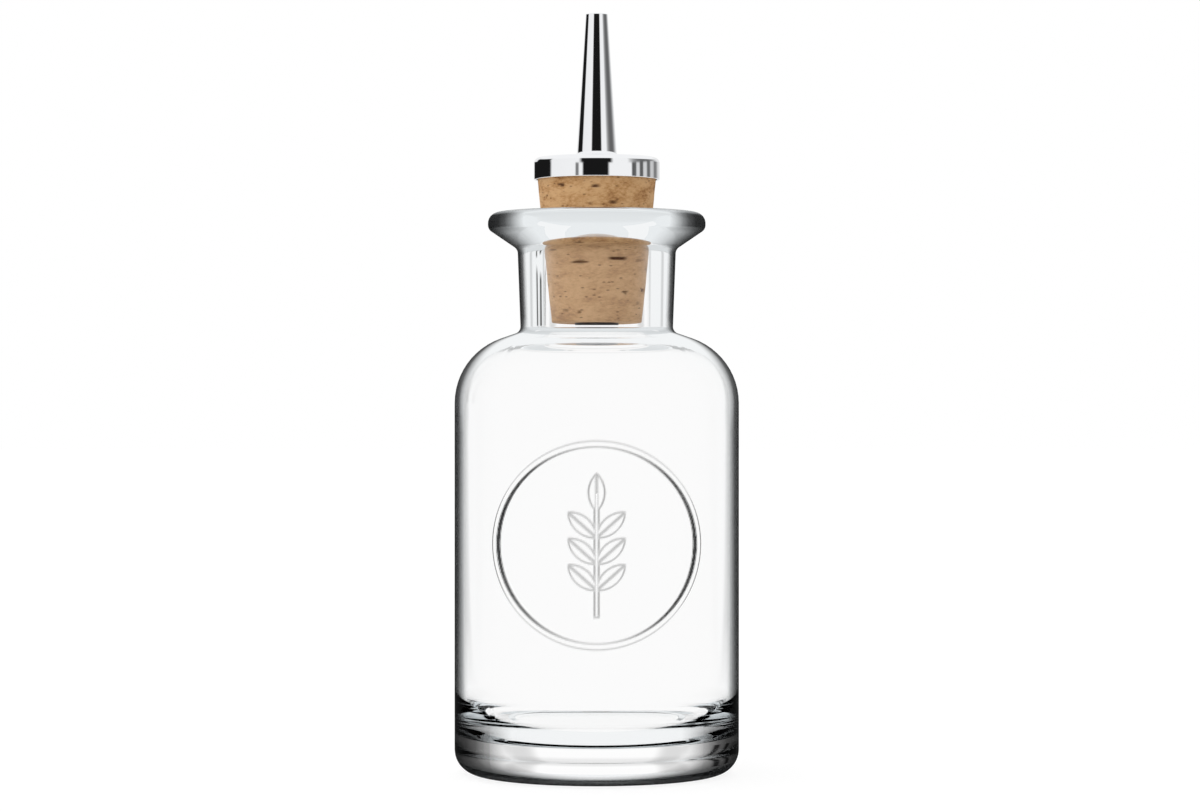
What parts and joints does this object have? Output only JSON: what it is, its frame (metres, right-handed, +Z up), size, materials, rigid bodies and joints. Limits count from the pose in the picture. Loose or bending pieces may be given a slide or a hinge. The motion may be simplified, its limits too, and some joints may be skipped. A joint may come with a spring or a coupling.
{
  "type": "bitters bottle",
  "caption": "Round clear glass bottle with a flared lip and moulded medallion, closed by a tapered cork that carries a chromed cap and dasher spout for pouring drops.",
  "frame": {"origin": "centre of the bottle's base, on the surface it stands on", "axes": "+Z up along the bottle's axis, the moulded medallion faces -Y"},
  "size_m": [0.07, 0.0706, 0.187],
  "materials": {
    "clear_glass": "pressed clear flint glass, fire polished",
    "cork": "natural cork, turned and sanded, small dark lenticels",
    "chrome_cap": "bright chrome plate on pressed brass",
    "chrome_spout": "bright chrome plate on turned brass",
    "stem_plastic": "moulded polyethylene",
    "insert_plastic": "moulded black polyethylene",
    "liner_rubber": "pale silicone rubber"
  },
  "bodies": {
    "bottle": {"glass_bottle": "clear_glass"},
    "cork": {"cork_stopper": "cork"},
    "liner": {"cap_liner": "liner_rubber"},
    "dasher": {"cap_shell": "chrome_cap", "dasher_spout": "chrome_spout", "stem_tube": "stem_plastic", "spout_seal": "liner_rubber", "dasher_insert": "insert_plastic"}
  },
  "joints": [
    {"name": "stopper_lift", "type": "slide", "parent": "bottle", "child": "cork", "axis": [0, 0, 1], "range_m": [0, 0.05]},
    {"name": "dasher_pull", "type": "slide", "parent": "cork", "child": "liner", "axis": [0, 0, 1], "range_m": [0, 0.045]},
    {"name": "dasher_turn", "type": "hinge", "parent": "liner", "child": "dasher", "pos_m": [0, 0, 0.1509], "axis": [0, 0, 1], "continuous": true}
  ]
}
